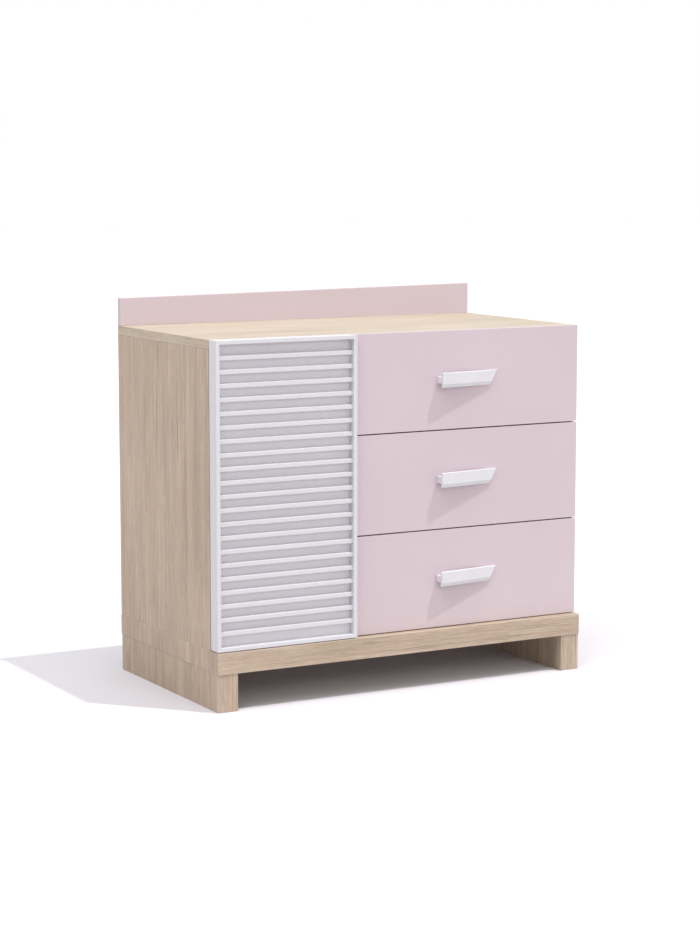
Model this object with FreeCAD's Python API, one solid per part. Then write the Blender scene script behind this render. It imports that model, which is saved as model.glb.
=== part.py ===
import FreeCAD, Part
import os

os.makedirs("parts", exist_ok=True)
V = FreeCAD.Vector

# Changing table with one slatted door on the left and three drawers on the right.
# Millimetres. X runs to the right, Y to the back and Z up. The origin is on the floor, in the
# middle of the whole object's width and depth.

# ---- Cabinet ----
carcass_width = 980.0
carcass_depth = 501.0
fronts_height = 705.0        # the door, and the three drawer fronts with their gaps
board = 18.0                 # panels, shelf, fronts and back rail
top_thickness = 22.0
back_thickness = 3.0
back_inset = 16.0            # from the rear edges to the rear of the thin back
groove_depth = 8.0
groove_play = 0.1
seat_play = 0.2              # between a thin board's edge and the end of its groove

# ---- Base and legs ----
base_thickness = 50.0
base_overhang = 1.0          # beyond the carcass on the left and right
base_lip = 2.5               # in front of the door
base_gap = 2.0               # between the base and the fronts
leg_height = 87.5
leg_width = 50.0
leg_setback = 2.5            # at the front and the back of the base

# ---- Back rail ----
rail_height_left = 66.5
rail_height_right = 77.0

# ---- Fronts ----
front_gap = 3.0              # between neighbouring fronts, and between fronts and carcass
door_width = 360.0
bar_face = 9.0               # the door's frame bars, seen from the front
bar_depth = 18.0
slat_pitch = 31.25
slat_height = 10.5
slat_depth = 12.3
slat_end_gap = 15.0          # the least gap above and below the row of slats

# ---- Handles ----
handle_overhang = 36.0       # plate length beyond the spacing of its posts
handle_flat = 26.5           # upright part of the plate
handle_band = 8.5            # lower band, leaning back
handle_band_lean = 3.0
handle_plate = 8.0
handle_reach = 28.0          # at the left end
handle_taper = 0.1433        # reach lost per mm to the right, until the plate meets the front
handle_offset = -5.5         # from the middle of the drawer front, along X
handle_rise = 1.5            # from the middle of the drawer front, upwards
end_slope = 0.575            # slanted right end: X lost per mm downwards
post_spacing = 128.0         # between the two screws
post_margin = 6.5            # from the plate's left end to the left screw
web_height = 16.0            # wedge between the plate and the drawer front
web_inset = 0.5              # from the plate's left end

# ---- Drawer boxes and runners ----
drawer_count = 3
drawer_side = 16.0           # thickness of sides and back
drawer_rear_gap = 35.0       # from the box to the thin back
drawer_lift = 25.0           # from the front's lower edge to the box
drawer_headroom = 48.0       # from the box to the front's upper edge
drawer_bottom = 3.0
drawer_bottom_rise = 12.0
runner_space = 12.7          # between the box and the cabinet
runner_setback = 2.0
runner_tail = 5.0            # cabinet member behind the box
runner_height = 45.0
runner_rise = 60.0           # from the box's lower edge to the runner's middle
runner_steel = 1.2
runner_play = 0.3
flange_play = 0.2            # between a flange's free edge and the neighbouring member
runner_screw_inset = 35.0

# ---- Shelf and its pins ----
shelf_play = 1.0
shelf_setback = 10.0
shelf_back_gap = 5.0
shelf_height = 335.0         # underside above the bottom panel
pin_radius = 2.5
pin_bite = 8.0
pin_reach = 8.0
pin_inset = 50.0
pin_step = 64.0              # between the three heights that the shelf can take

# ---- Concealed hinges and magnet ----
hinge_inset = 100.0          # from the door's ends
cup_radius = 17.5
cup_depth = 11.5
cup_wall = 1.0
cup_edge = 5.0               # from the door's edge to the cup
cup_flange = 1.2
cup_flange_height = 52.0
cup_flange_left = 10.0
cup_flange_right = 22.0
arm_width = 12.0
arm_thickness = 10.0
plate_thickness = 2.0
plate_length = 36.0
plate_height = 48.0
plate_setback = 37.0         # row of system holes behind the carcass front
plate_hole_spacing = 32.0
magnet_radius = 5.0
magnet_length = 14.0
magnet_play = 0.3            # between the magnet's collar and the strike
strike_radius = 7.5
strike_thickness = 1.5
magnet_inset = 40.0          # from the door's free edge

# ---- Fixings ----
# A screw is its shank's radius, its head's radius and its length.
leg_screw = (3.0, 5.5, 100.0)
base_screw = (2.5, 4.5, 45.0)
rail_screw = (2.25, 4.25, 52.0)
runner_screw = (2.5, 3.6, 12.0)
bracket_screw = (2.0, 3.6, 16.0)
head_slope = 1.2             # depth of every countersunk head
leg_screw_inset = 90.0
base_screw_inset = 50.0
base_screw_offset = 300.0
rail_screw_inset = 90.0
handle_screw_radius = 2.0
handle_head_radius = 4.0
handle_head_height = 2.5
handle_screw_bite = 6.0      # into the post
bore_play = 0.05             # round a shank or dowel
bore_end_play = 0.5
cam_radius = 7.5
cam_depth = 12.5
cam_setback = 24.0           # from the board's end to the cam's centre
cam_bolt_radius = 3.0
cam_bolt_length = 32.0
cam_bite = 4.0               # of the bolt's end in the disc
cam_channel_play = 0.5
cam_inset = 70.0             # from the carcass front and the thin back
dowel_radius = 4.0
dowel_length = 30.0
dowel_end_play = 1.0
dowel_inset = 120.0
bracket_leg = 30.0
bracket_width = 30.0
bracket_steel = 2.0
bracket_offset = 300.0
bracket_screw_setback = 20.0
bracket_hole_radius = 2.75
bracket_hole_drop = 18.0

# ---- Worked out from the above ----
half_width = carcass_width / 2
back_y = (carcass_depth + front_gap + board + handle_reach) / 2
carcass_front = back_y - carcass_depth
fronts_back = carcass_front - front_gap
panel_face = fronts_back - board
door_face = panel_face - bar_depth
base_front = door_face - base_lip
base_top = leg_height + base_thickness
fronts_bottom = base_top + base_gap
top_z = fronts_bottom + fronts_height
top_under = top_z - top_thickness
floor_z = base_top + board
inner_left = board - half_width
inner_right = half_width - board
thin_back_rear = back_y - back_inset
thin_back_front = thin_back_rear - back_thickness
door_right = door_width - half_width
partition_x = door_right + front_gap / 2
partition_left = partition_x - board / 2
partition_right = partition_x + board / 2
drawer_left = door_right + front_gap
front_height = (fronts_height - (drawer_count - 1) * front_gap) / drawer_count
front_middle_x = (drawer_left + half_width) / 2
box_left = partition_right + runner_space
box_right = inner_right - runner_space
box_rear = thin_back_front - drawer_rear_gap
runner_front = carcass_front + runner_setback
plate_front = panel_face - handle_reach
plate_back = plate_front + handle_plate
handle_length = post_spacing + handle_overhang
handle_left = front_middle_x + handle_offset - handle_length / 2
first_post_x = handle_left + post_margin
rail_middle = back_y - board / 2
flange_margin = runner_steel + flange_play
hinge_row = carcass_front + plate_setback
cup_x = cup_edge + cup_radius - half_width
hinge_heights = [fronts_bottom + hinge_inset, top_z - hinge_inset]

X, Y, Z = V(1, 0, 0), V(0, 1, 0), V(0, 0, 1)
nodes = {}
bores = []


def box(x0, x1, y0, y1, z0, z1):
    return Part.makeBox(x1 - x0, y1 - y0, z1 - z0, V(x0, y0, z0))


def rod(radius, start, along, length):
    return Part.makeCylinder(radius, length, start, along)


def add(node, *solids):
    nodes.setdefault(node, []).extend(solids)


def screw(node, size, head, along):
    """A countersunk screw whose head is flush at the point head, with the bore that it sits in."""
    radius, head_radius, length = size

    def shape(play, end_play):
        cone = Part.makeCone(head_radius + play, radius + play, head_slope, head, along)
        return cone.fuse(rod(radius + play, head, along, length + end_play)).removeSplitter()
    add(node, shape(0, 0))
    bores.append(shape(bore_play, bore_end_play))


def cam_lock(corner, bolt_way, face_way):
    """A cam disc let into a board's face, and its bolt in the board across the joint.
    corner lies on the joint, at mid thickness; face_way points out of the cam's face."""
    centre = corner - bolt_way * cam_setback
    mouth = centre + face_way * (board / 2)
    tip = centre + bolt_way * (cam_radius - cam_bite)
    bolt = rod(cam_bolt_radius, tip, bolt_way, cam_bolt_length)
    disc = rod(cam_radius - bore_play, mouth, face_way * -1, cam_depth)
    slot = rod(cam_bolt_radius + cam_channel_play, tip, bolt_way, cam_bolt_length)
    add("cam_locks", disc.cut(slot), bolt)
    bores.append(rod(cam_radius, mouth, face_way * -1, cam_depth))
    bores.append(rod(cam_bolt_radius + bore_play, centre, bolt_way, cam_setback))
    reach = cam_bolt_length - (cam_setback - cam_radius + cam_bite)
    bores.append(rod(cam_bolt_radius + bore_play, corner, bolt_way, reach + bore_play))


def dowel(corner, way):
    """A wooden dowel, half in each board across the joint at corner."""
    start = corner - way * (dowel_length / 2)
    add("dowels", rod(dowel_radius, start, way, dowel_length))
    bores.append(rod(dowel_radius + bore_play, start - way * dowel_end_play, way,
                     dowel_length + 2 * dowel_end_play))


def drilled(shape):
    """The board with every bore that reaches it cut out."""
    for bore in bores:
        if shape.BoundBox.intersect(bore.BoundBox):
            shape = shape.cut(bore)
    return shape


# ---- Fixings of the cabinet ----
def carcass_joints():
    """Cams and dowels at the six joints of the carcass boards."""
    cam_ys = (carcass_front + cam_inset, thin_back_front - cam_inset)
    dowel_ys = (carcass_front + dowel_inset, thin_back_front - dowel_inset)
    left_x, right_x = inner_left - board / 2, inner_right + board / 2
    bottom_z = base_top + board / 2
    upright = [(left_x, top_under, Z, X), (right_x, top_under, Z, X * -1),
               (partition_x, top_under, Z, X * -1), (partition_x, floor_z, Z * -1, X * -1)]
    lying = [(inner_left, bottom_z, X * -1, Z), (inner_right, bottom_z, X, Z)]
    for x, z, way, face in upright + lying:
        for y in cam_ys:
            cam_lock(V(x, y, z), way, face)
        for y in dowel_ys:
            dowel(V(x, y, z), way)


def leg_screws():
    """Down through the base board into the legs; the bottom panel hides their heads."""
    for side in (-1, 1):
        x = side * (half_width - leg_width / 2)
        for y in (base_front + leg_screw_inset, (base_front + back_y) / 2, back_y - leg_screw_inset):
            screw("leg_screws", leg_screw, V(x, y, base_top), Z * -1)


def base_screws():
    """Down through the bottom panel into the base board."""
    for x in (-base_screw_offset, 0.0, base_screw_offset):
        for y in (carcass_front + base_screw_inset, thin_back_front - base_screw_inset):
            screw("base_screws", base_screw, V(x, y, floor_z), Z * -1)


def rail_screws():
    """Up through the top board, behind the thin back, into the back rail."""
    span = half_width - rail_screw_inset
    for step in (-1.0, -1.0 / 3, 1.0 / 3, 1.0):
        screw("rail_screws", rail_screw, V(step * span, rail_middle, top_under), Z)


# ---- Concealed hinges ----
def hinge_arm(z):
    """Mounting plate screwed inside the left side, with the arm that reaches into the cup."""
    plate_x = inner_left + plate_thickness
    plate = box(inner_left, plate_x, hinge_row - plate_length / 2, hinge_row + plate_length / 2,
                z - plate_height / 2, z + plate_height / 2)
    tip = fronts_back - cup_depth + cup_wall + runner_play
    arm = box(plate_x, plate_x + arm_thickness, tip, hinge_row + plate_length / 2,
              z - arm_width / 2, z + arm_width / 2)
    for side in (-1, 1):
        hole_z = z + side * plate_hole_spacing / 2
        screw("system_screws", runner_screw, V(plate_x, hinge_row, hole_z), X * -1)
    return plate.fuse(arm).removeSplitter()


def hinge_cup(z):
    """A steel cup pressed into the door panel, with its flange on the panel's back."""
    mouth = V(cup_x, fronts_back, z)
    body = rod(cup_radius - bore_play, mouth, Y * -1, cup_depth)
    flange = box(cup_x - cup_flange_left, cup_x + cup_flange_right, fronts_back,
                 fronts_back + cup_flange, z - cup_flange_height / 2, z + cup_flange_height / 2)
    hollow = rod(cup_radius - cup_wall, mouth + Y * cup_flange, Y * -1,
                 cup_depth + cup_flange - cup_wall)
    return body.fuse(flange).cut(hollow)


def hinges():
    for z in hinge_heights:
        add("hinge_arms", hinge_arm(z))
        add("hinge_cups", hinge_cup(z))


def door_catch():
    """A round magnet let into the top board's front edge, and the disc on the door that it holds."""
    x = door_right - magnet_inset
    z = top_under + top_thickness / 2
    edge = V(x, carcass_front, z)
    collar = rod(strike_radius, edge, Y * -1, front_gap - strike_thickness - magnet_play)
    add("door_magnet", collar.fuse(rod(magnet_radius, edge, Y, magnet_length)).removeSplitter())
    bores.append(rod(magnet_radius + bore_play, edge, Y, magnet_length + bore_play))
    add("door_strike", rod(strike_radius, V(x, fronts_back, z), Y, strike_thickness))


# ---- Shelf ----
def shelf():
    z = floor_z + shelf_height
    add("shelf", box(inner_left + shelf_play, partition_left - shelf_play,
                     carcass_front + shelf_setback, thin_back_front - shelf_back_gap, z, z + board))
    for y in (carcass_front + shelf_setback + pin_inset, thin_back_front - pin_inset):
        for x, inward in ((inner_left, X), (partition_left, X * -1)):
            level = z - pin_radius
            add("shelf_pins", rod(pin_radius, V(x, y, level) - inward * pin_bite, inward,
                                  pin_bite + pin_reach))
            for step in (-1, 0, 1):
                bores.append(rod(pin_radius + bore_play, V(x, y, level + step * pin_step), inward * -1,
                                 pin_bite + bore_play))


# ---- Anti-tip brackets ----
def wall_brackets():
    """Steel angles under the top, in front of the thin back; the wall screws go through both."""
    for side in (-1, 1):
        x = side * bracket_offset
        left, right = x - bracket_width / 2, x + bracket_width / 2
        upright = box(left, right, thin_back_front - bracket_steel, thin_back_front,
                      top_under - bracket_leg, top_under)
        lying = box(left, right, thin_back_front - bracket_leg, thin_back_front,
                    top_under - bracket_steel, top_under)
        mouth = V(x, thin_back_front - bracket_steel, top_under - bracket_hole_drop)
        hole = rod(bracket_hole_radius, mouth, Y, bracket_steel + back_thickness)
        add("wall_brackets", upright.fuse(lying).removeSplitter().cut(hole))
        bores.append(hole)
        seat = V(x, thin_back_front - bracket_screw_setback, top_under - bracket_steel)
        screw("bracket_screws", bracket_screw, seat, Z)


# ---- Cabinet boards ----
def groove(x0, x1, z0, z1):
    return box(x0, x1, thin_back_front - groove_play, thin_back_rear + groove_play, z0, z1)


def sides():
    left = box(-half_width, inner_left, carcass_front, back_y, base_top, top_under)
    left = left.cut(groove(inner_left - groove_depth, inner_left, base_top, top_under))
    right = box(inner_right, half_width, carcass_front, back_y, base_top, top_under)
    right = right.cut(groove(inner_right, inner_right + groove_depth, base_top, top_under))
    add("left_side", left)
    add("right_side", right)


def top_and_bottom():
    top = box(-half_width, half_width, carcass_front, back_y, top_under, top_z)
    width = inner_right + groove_depth
    add("top_board", top.cut(groove(-width, width, top_under, top_under + groove_depth)))
    bottom = box(inner_left, inner_right, carcass_front, back_y, base_top, floor_z)
    add("bottom_panel", bottom.cut(groove(inner_left, inner_right, floor_z - groove_depth, floor_z)))


def partition_and_back():
    add("partition", box(partition_left, partition_right, carcass_front, thin_back_front,
                         floor_z, top_under))
    bite = groove_depth - seat_play
    add("back_panel", box(inner_left - bite, inner_right + bite, thin_back_front, thin_back_rear,
                          floor_z - bite, top_under + bite))


def base():
    edge = half_width + base_overhang
    add("base_board", box(-edge, edge, base_front, back_y, leg_height, base_top))
    front, rear = base_front + leg_setback, back_y - leg_setback
    add("left_leg", box(-half_width, leg_width - half_width, front, rear, 0, leg_height))
    add("right_leg", box(half_width - leg_width, half_width, front, rear, 0, leg_height))


def back_rail():
    """The tapered board that keeps things from falling behind; taller on the right."""
    corners = [V(-half_width, back_y - board, top_z), V(half_width, back_y - board, top_z),
               V(half_width, back_y - board, top_z + rail_height_right),
               V(-half_width, back_y - board, top_z + rail_height_left)]
    face = Part.Face(Part.makePolygon(corners + corners[:1]))
    add("back_rail", face.extrude(V(0, board, 0)))


# ---- Door ----
def door():
    panel = box(-half_width, door_right, panel_face, fronts_back, fronts_bottom, top_z)
    for z in hinge_heights:
        panel = panel.cut(rod(cup_radius, V(cup_x, fronts_back, z), Y * -1, cup_depth))
    add("door_panel", panel)
    left, right = bar_face - half_width, door_right - bar_face
    low, high = fronts_bottom + bar_face, top_z - bar_face
    add("door_left_stile", box(-half_width, left, door_face, panel_face, fronts_bottom, top_z))
    add("door_right_stile", box(right, door_right, door_face, panel_face, fronts_bottom, top_z))
    add("door_bottom_rail", box(left, right, door_face, panel_face, fronts_bottom, low))
    add("door_top_rail", box(left, right, door_face, panel_face, high, top_z))
    steps = int((high - low - slat_height - 2 * slat_end_gap) / slat_pitch)
    first = (low + high - steps * slat_pitch - slat_height) / 2
    for number in range(steps + 1):
        z = first + number * slat_pitch
        add("door_slats", box(left, right, panel_face - slat_depth, panel_face, z, z + slat_height))


# ---- Drawers ----
def handle(front_z):
    """A plate that slants until its right end lies on the drawer front, backed by a wedge-shaped
    web of its own metal. Its right end is cut on a slant and its lower band leans back."""
    middle = front_z + front_height / 2 + handle_rise
    top = middle + (handle_flat + handle_band) / 2
    knee, low = top - handle_flat, top - handle_flat - handle_band
    profile = [V(handle_left, plate_front, top), V(handle_left, plate_front, knee),
               V(handle_left, plate_front + handle_band_lean, low),
               V(handle_left, plate_back, low), V(handle_left, plate_back, top)]
    slant = V(handle_length, handle_length * handle_taper, 0)
    plate = Part.Face(Part.makePolygon(profile + profile[:1])).extrude(slant)
    web_low = middle - web_height / 2
    inside = V(handle_left + web_inset, plate_front + handle_plate / 2, web_low)
    wedge = [inside, inside + slant, V(inside.x + handle_length, panel_face, web_low),
             V(inside.x, panel_face, web_low)]
    web = Part.Face(Part.makePolygon(wedge + wedge[:1])).extrude(V(0, 0, web_height))
    solid = plate.fuse(web)
    right = handle_left + handle_length
    beyond = right + handle_length
    ring = [V(right, plate_front, top), V(right - end_slope * (top - low), plate_front, low),
            V(beyond, plate_front, low), V(beyond, plate_front, top)]
    waste = Part.Face(Part.makePolygon(ring + ring[:1])).extrude(V(0, beyond, 0))
    behind = box(handle_left, beyond, panel_face, panel_face + beyond, low, top)
    return solid.cut(waste).cut(behind).removeSplitter(), middle


def handle_screw_parts(middle):
    """Two pan-head screws from inside the drawer, and the bores that they sit in."""
    length = board + handle_screw_bite
    screws, holes = [], []
    for step in (0, 1):
        seat = V(first_post_x + step * post_spacing, fronts_back, middle)
        head = rod(handle_head_radius, seat, Y, handle_head_height)
        screws.append(head.fuse(rod(handle_screw_radius, seat, Y * -1, length)).removeSplitter())
        holes.append(rod(handle_screw_radius + bore_play, seat, Y * -1, length + bore_end_play))
    return screws, holes


def channel(back_x, way, depth, outer_height, middle_z, y0, y1):
    """A steel channel lying along Y, with its web at back_x and its flanges pointing way."""
    web_x = back_x + way * runner_steel
    edge_x = back_x + way * depth
    half = outer_height / 2
    outer = box(min(back_x, edge_x), max(back_x, edge_x), y0, y1, middle_z - half, middle_z + half)
    half -= runner_steel
    inner = box(min(web_x, edge_x), max(web_x, edge_x), y0, y1, middle_z - half, middle_z + half)
    return outer.cut(inner)


def runner_pair(number, box_z):
    """Telescopic runners: cabinet, middle and drawer members, one set each side of the box."""
    z = box_z + runner_rise
    step = 2 * (runner_steel + runner_play)
    y0, y1 = runner_front, box_rear + runner_tail
    nested = runner_space - runner_steel - runner_play
    for wall_x, box_x, way in ((partition_right, box_left, 1), (inner_right, box_right, -1)):
        outer = channel(wall_x, way, runner_space - flange_margin, runner_height, z, y0, y1)
        for y in (y0 + runner_screw_inset, (y0 + y1) / 2, y1 - runner_screw_inset):
            screw("system_screws", runner_screw, V(wall_x + way * runner_steel, y, z), X * -way)
        middle_x = wall_x + way * (runner_steel + runner_play)
        middle_member = channel(middle_x, way, nested - flange_margin, runner_height - step, z, y0, y1)
        drawer_member = channel(box_x, -way, nested - flange_margin - runner_steel,
                                runner_height - 2 * step, z, y0, box_rear)
        add(f"drawer_{number}_cabinet_runners", outer)
        add(f"runner_{number}_middle_members", middle_member)
        add(f"drawer_{number}_runners", drawer_member)


def drawer(number):
    """One drawer, counted from the top: front, box, thin bottom and handle."""
    name = f"drawer_{number}_"
    front_z = fronts_bottom + (drawer_count - number) * (front_height + front_gap)
    low = front_z + drawer_lift
    high = front_z + front_height - drawer_headroom
    left, right = box_left + drawer_side, box_right - drawer_side
    bottom_z = low + drawer_bottom_rise
    bite = groove_depth - seat_play
    back_face = box_rear - drawer_side
    slot = box(left - groove_depth, right + groove_depth, fronts_back - groove_depth,
               back_face + groove_depth, bottom_z - groove_play, bottom_z + drawer_bottom + groove_play)
    solid, middle = handle(front_z)
    screws, holes = handle_screw_parts(middle)
    front = box(drawer_left, half_width, panel_face, fronts_back, front_z, front_z + front_height)
    add(name + "front", front.cut(slot).cut(Part.makeCompound(holes)))
    add(name + "left_side", box(box_left, left, fronts_back, box_rear, low, high).cut(slot))
    add(name + "right_side", box(right, box_right, fronts_back, box_rear, low, high).cut(slot))
    add(name + "back", box(left, right, back_face, box_rear, low, high).cut(slot))
    add(name + "bottom", box(left - bite, right + bite, fronts_back - bite, back_face + bite,
                             bottom_z, bottom_z + drawer_bottom))
    add(name + "handle", solid.cut(Part.makeCompound(holes)))
    add(name + "handle_screws", *screws)
    runner_pair(number, low)


def save(node, solids):
    if node in drilled_nodes or node.endswith("cabinet_runners"):
        solids = [drilled(solid) for solid in solids]
    shape = solids[0] if len(solids) == 1 else Part.makeCompound(solids)
    shape.exportStep(f"parts/{node}.step")


drilled_nodes = {"top_board", "left_side", "right_side", "partition", "bottom_panel", "base_board",
                 "left_leg", "right_leg", "back_panel", "back_rail", "hinge_arms", "wall_brackets"}

sides()
top_and_bottom()
partition_and_back()
base()
back_rail()
carcass_joints()
leg_screws()
base_screws()
rail_screws()
shelf()
hinges()
door_catch()
wall_brackets()
door()
for number in range(1, drawer_count + 1):
    drawer(number)
for node, solids in nodes.items():
    save(node, solids)
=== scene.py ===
import math
import random

import bmesh
import bpy
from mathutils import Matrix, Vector


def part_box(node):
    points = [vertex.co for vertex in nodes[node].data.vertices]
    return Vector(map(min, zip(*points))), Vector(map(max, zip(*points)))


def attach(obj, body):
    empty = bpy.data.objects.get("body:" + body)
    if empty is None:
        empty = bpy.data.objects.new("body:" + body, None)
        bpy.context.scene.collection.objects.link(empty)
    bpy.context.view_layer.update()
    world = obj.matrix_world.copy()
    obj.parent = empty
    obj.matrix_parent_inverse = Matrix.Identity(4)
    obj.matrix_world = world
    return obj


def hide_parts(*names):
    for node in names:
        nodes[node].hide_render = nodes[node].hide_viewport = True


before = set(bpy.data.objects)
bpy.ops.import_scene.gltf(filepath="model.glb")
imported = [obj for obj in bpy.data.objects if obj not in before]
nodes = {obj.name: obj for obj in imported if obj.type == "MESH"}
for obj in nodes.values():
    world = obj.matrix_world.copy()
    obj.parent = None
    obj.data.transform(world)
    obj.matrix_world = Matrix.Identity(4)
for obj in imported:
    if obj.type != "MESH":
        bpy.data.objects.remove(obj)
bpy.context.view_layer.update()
X, Y, Z = 0, 1, 2


# ---- Base board ----
# A thick slab that carries the whole cabinet: chipboard built up to 50 mm, faced and edged with a
# printed oak decor. Its front lip stands a little in front of the doors, and its edges are eased.
WELD_DISTANCE = 1e-5
SAME_PLANE = math.radians(0.1)
CORNER_TURN = math.radians(28)
SHORTEST_EASED = 0.006
SMOOTH_TURN = math.radians(40)
GRAIN_SHEET = 20.0
FACING_STEP = 2.3
sheet_cuts = random.Random(11)


def add_node(tree, kind, feeds, **settings):
    """One node. feeds maps its inputs, by name or place, to a value or to another node's output."""
    made = tree.nodes.new(kind)
    for key, value in settings.items():
        setattr(made, key, value)
    for key, value in feeds.items():
        if isinstance(value, bpy.types.NodeSocket):
            tree.links.new(value, made.inputs[key])
        else:
            made.inputs[key].default_value = value
    return made


def calc(tree, operation, *values):
    feeds = dict(enumerate(values))
    return add_node(tree, "ShaderNodeMath", feeds, operation=operation).outputs[0]


def noise(tree, place, stretch, detail=3.0, roughness=0.5, distortion=0.0):
    """Grey noise over a place, with so many changes a metre along each axis."""
    spread = add_node(tree, "ShaderNodeMapping", {"Vector": place, "Scale": stretch})
    feeds = {"Vector": spread.outputs[0], "Scale": 1.0, "Detail": detail,
             "Roughness": roughness, "Distortion": distortion}
    return add_node(tree, "ShaderNodeTexNoise", feeds).outputs[0]


def spread_to(tree, value, low, high, new_low, new_high):
    feeds = {0: value, 1: low, 2: high, 3: new_low, 4: new_high}
    return add_node(tree, "ShaderNodeMapRange", feeds).outputs[0]


def tones(tree, value, *stops):
    """Colours along a value: each stop is (where, colour)."""
    ramp = add_node(tree, "ShaderNodeValToRGB", {"Fac": value})
    bar = ramp.color_ramp.elements
    while len(bar) < len(stops):
        bar.new(0.5)
    for mark, (where, colour) in zip(bar, stops):
        mark.position = where
        mark.color = (*colour, 1.0)
    return ramp.outputs[0]


def blended(tree, share, under, over, mode="MIX"):
    """Two colours, the second laid over the first by a share of 0 to 1."""
    feeds = {0: share}
    for place, colour in ((6, under), (7, over)):
        feeds[place] = colour if isinstance(colour, bpy.types.NodeSocket) else (*colour, 1.0)
    mixed = add_node(tree, "ShaderNodeMix", feeds, data_type="RGBA", blend_type=mode)
    return mixed.outputs[2]


def bumped(tree, skin, height, strength, distance):
    feeds = {"Height": height, "Strength": strength, "Distance": distance}
    bump = add_node(tree, "ShaderNodeBump", feeds)
    tree.links.new(bump.outputs[0], skin.inputs["Normal"])


def fresh_finish(name):
    """A new material, its tree and its shader."""
    finish = bpy.data.materials.new(name)
    finish.use_nodes = True
    return finish, finish.node_tree, finish.node_tree.nodes["Principled BSDF"]


def attribute(tree, name):
    return add_node(tree, "ShaderNodeAttribute", {}, attribute_name=name).outputs["Fac"]


def object_place(tree):
    return add_node(tree, "ShaderNodeTexCoord", {}).outputs["Object"]


def oak_decor(name, dark, middle, light, streak_share):
    """Printed pale oak: cloudy figure, long streaks, fine fibres and dark dashes along the grain.
    dark, middle and light are its three tones; streak_share is the strength of the long streaks."""
    finish, tree, skin = fresh_finish(name)
    sheet = add_node(tree, "ShaderNodeUVMap", {}, uv_map="grain").outputs[0]
    fibres = noise(tree, sheet, (9.0, 560.0, 1.0), 4.0, 0.68, 0.05)
    streaks = noise(tree, sheet, (1.3, 62.0, 1.0), 4.0, 0.62, 0.20)
    clouds = noise(tree, sheet, (3.0, 16.0, 1.0), 3.0, 0.55, 0.5)
    flecks = noise(tree, sheet, (30.0, 210.0, 1.0), 3.0, 0.6, 0.2)
    pores = noise(tree, sheet, (34.0, 900.0, 1.0), 2.0, 0.5)
    dashes = noise(tree, sheet, (3.8, 400.0, 1.0), 2.0, 0.45, 0.05)
    crowd = noise(tree, sheet, (2.5, 22.0, 1.0), 2.0)
    mix = calc(tree, "MULTIPLY_ADD", streaks, streak_share, calc(tree, "MULTIPLY", fibres, 0.26))
    mix = calc(tree, "MULTIPLY_ADD", clouds, 0.54 - streak_share, mix)
    mix = calc(tree, "MULTIPLY_ADD", flecks, 0.20, mix)
    wood = tones(tree, mix, (0.41, dark), (0.50, middle), (0.58, light))
    pore_share = spread_to(tree, pores, 0.58, 0.72, 0.0, 0.30)
    dash_share = calc(tree, "MULTIPLY", spread_to(tree, dashes, 0.585, 0.70, 0.0, 0.75),
                      spread_to(tree, crowd, 0.42, 0.62, 0.15, 1.0))
    wood = blended(tree, pore_share, wood, tuple(part * 0.55 for part in dark))
    wood = blended(tree, dash_share, wood, tuple(part * 0.42 for part in dark))
    # Painted highlight: the eased edges are lightened in patches, standing in for the light the rounded
    # edges catch.
    edge_highlight_patches = spread_to(tree, clouds, 0.3, 0.7, 0.1, 0.45)
    painted_edge_highlight = calc(tree, "MULTIPLY", attribute(tree, "eased"), edge_highlight_patches)
    wood = blended(tree, painted_edge_highlight, wood, (0.64, 0.55, 0.46))
    tree.links.new(wood, skin.inputs["Base Color"])
    tree.links.new(spread_to(tree, streaks, 0.3, 0.7, 0.36, 0.50), skin.inputs["Roughness"])
    skin.inputs["Specular IOR Level"].default_value = 0.5
    relief = calc(tree, "SUBTRACT", fibres, calc(tree, "MULTIPLY", pore_share, 2.0))
    bumped(tree, skin, relief, 0.30, 0.0002)
    return finish


def clean_copy(node):
    """The node's triangles as one joined mesh with flat faces, in a bmesh of its own."""
    source = nodes[node].data
    made = bmesh.new()
    corners = [made.verts.new(vertex.co) for vertex in source.vertices]
    for triangle in source.polygons:
        made.faces.new([corners[number] for number in triangle.vertices])
    bmesh.ops.remove_doubles(made, verts=made.verts, dist=WELD_DISTANCE)
    bmesh.ops.dissolve_limit(made, angle_limit=SAME_PLANE, verts=made.verts, edges=made.edges)
    return made


def ease_edges(made, ease, steps=2):
    """Rounds the long outside edges and marks the rounded faces for the finish."""
    mark = made.faces.layers.float.new("eased")
    sharp = [edge for edge in made.edges
             if edge.is_manifold and edge.is_convex and edge.calc_face_angle() > CORNER_TURN
             and edge.calc_length() > SHORTEST_EASED]
    eased = bmesh.ops.bevel(made, geom=sharp, offset=ease, segments=steps, profile=0.5,
                            affect="EDGES", clamp_overlap=True)
    for face in eased["faces"]:
        face[mark] = 1.0


def lay_grain(made, grain, end_grain, cuts):
    """A sheet in metres on every face, running along the board, or along end_grain on its ends."""
    start = (cuts.uniform(0, GRAIN_SHEET), cuts.uniform(0, GRAIN_SHEET))
    sheet = made.loops.layers.uv.new("grain")
    for face in made.faces:
        facing = max((X, Y, Z), key=lambda axis: abs(face.normal[axis]))
        along = end_grain if facing == grain else grain
        across = X + Y + Z - facing - along
        for corner in face.loops:
            spot = corner.vert.co
            corner[sheet].uv = (spot[along] + start[0] + facing * FACING_STEP, spot[across] + start[1])


def new_piece(name, mesh):
    piece = bpy.data.objects.new(name, mesh)
    bpy.context.scene.collection.objects.link(piece)
    return piece


def settle(piece):
    """Works the piece's modifiers into a plain mesh."""
    graph = bpy.context.evaluated_depsgraph_get()
    mesh = bpy.data.meshes.new_from_object(piece.evaluated_get(graph), depsgraph=graph)
    piece.modifiers.clear()
    piece.data = mesh


def even_out(piece, smooth_turn=SMOOTH_TURN):
    """Shades a piece smooth over its eased edges and keeps its flat faces flat."""
    piece.data.shade_smooth()
    piece.data.set_sharp_from_angle(angle=smooth_turn)
    even = piece.modifiers.new("even", "WEIGHTED_NORMAL")
    even.weight = 100
    even.keep_sharp = True
    settle(piece)


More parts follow.
